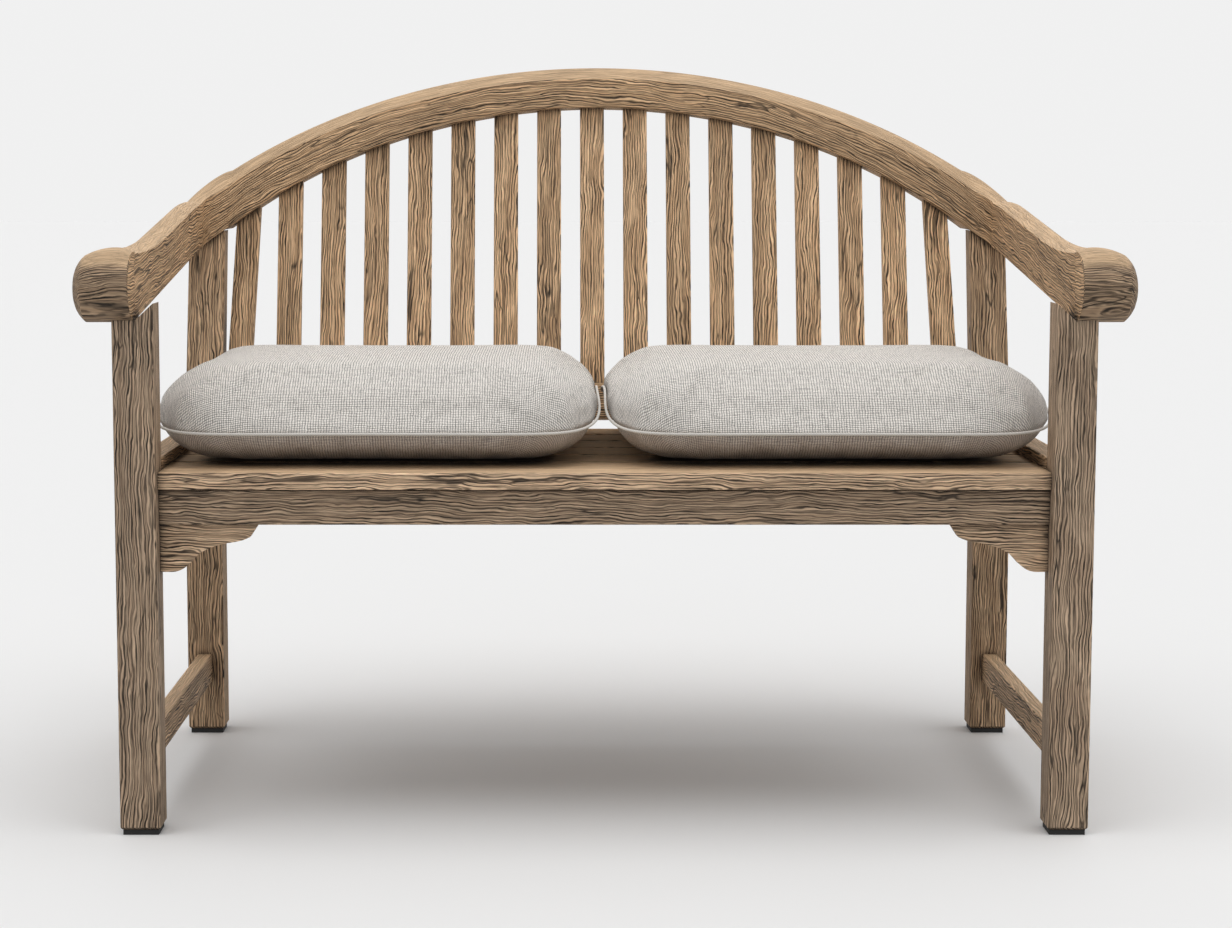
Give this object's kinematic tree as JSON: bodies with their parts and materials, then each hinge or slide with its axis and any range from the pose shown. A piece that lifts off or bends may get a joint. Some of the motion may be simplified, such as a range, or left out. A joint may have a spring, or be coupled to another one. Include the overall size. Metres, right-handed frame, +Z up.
{
  "type": "garden bench",
  "caption": "Two-seat wooden garden bench with an arched top rail sweeping into scrolled arms, a slatted back and loose piped seat cushions.",
  "frame": {"origin": "centre of the rectangle around the bench, on the floor under the foot pads", "axes": "+X along the bench to the right of someone who faces its front, +Y from the front to the back, +Z up"},
  "size_m": [1.2776, 0.6674, 0.965],
  "materials": {
    "frame_wood": "brushed open grain, unvarnished",
    "seat_wood": "brushed open grain, unvarnished",
    "slat_wood": "brushed open grain, each slat of its own tone",
    "foot_pad": "matte",
    "cushion_fabric": "plain linen weave, matte",
    "piping_fabric": "matte"
  },
  "bodies": {
    "frame": {"front_leg_left": "frame_wood", "front_leg_right": "frame_wood", "rear_post_left": "frame_wood", "rear_post_right": "frame_wood", "foot_pad_front_left": "foot_pad", "foot_pad_front_right": "foot_pad", "foot_pad_rear_left": "foot_pad", "foot_pad_rear_right": "foot_pad", "front_apron": "frame_wood", "rear_seat_rail": "frame_wood", "side_rail_left": "frame_wood", "side_rail_right": "frame_wood", "seat_cleat_left": "frame_wood", "seat_cleat_right": "frame_wood", "centre_bearer": "frame_wood", "seat_front_board": "seat_wood", "seat_slat_1": "seat_wood", "seat_slat_2": "seat_wood", "seat_slat_3": "seat_wood", "seat_slat_4": "seat_wood", "seat_slat_5": "seat_wood", "stretcher_left": "frame_wood", "stretcher_right": "frame_wood", "corner_bracket_left": "frame_wood", "corner_bracket_right": "frame_wood", "bracket_dowel_left_outer": "frame_wood", "bracket_dowel_left_inner": "frame_wood", "bracket_dowel_right_outer": "frame_wood", "bracket_dowel_right_inner": "frame_wood", "lower_back_rail": "frame_wood", "back_slat_01": "slat_wood", "back_slat_02": "slat_wood", "back_slat_03": "slat_wood", "back_slat_04": "slat_wood", "back_slat_05": "slat_wood", "back_slat_06": "slat_wood", "back_slat_07": "slat_wood", "back_slat_08": "slat_wood", "back_slat_09": "slat_wood", "back_slat_10": "slat_wood", "back_slat_11": "slat_wood", "back_slat_12": "slat_wood", "back_slat_13": "slat_wood", "back_slat_14": "slat_wood", "back_slat_15": "slat_wood", "back_slat_16": "slat_wood", "back_slat_17": "slat_wood", "top_rail": "frame_wood", "arm_left": "frame_wood", "arm_right": "frame_wood", "arm_dowel_left_lower": "frame_wood", "arm_dowel_left_upper": "frame_wood", "arm_dowel_right_lower": "frame_wood", "arm_dowel_right_upper": "frame_wood"},
    "cushion_left": {"cushion_left": "cushion_fabric", "piping_left": "piping_fabric"},
    "cushion_right": {"cushion_right": "cushion_fabric", "piping_right": "piping_fabric"}
  },
  "joints": [
    {"name": "cushion_left_lift", "type": "slide", "parent": "frame", "child": "cushion_left", "axis": [0, 0, 1], "range_m": [0, 0.56]},
    {"name": "cushion_right_lift", "type": "slide", "parent": "frame", "child": "cushion_right", "axis": [0, 0, 1], "range_m": [0, 0.56]}
  ]
}
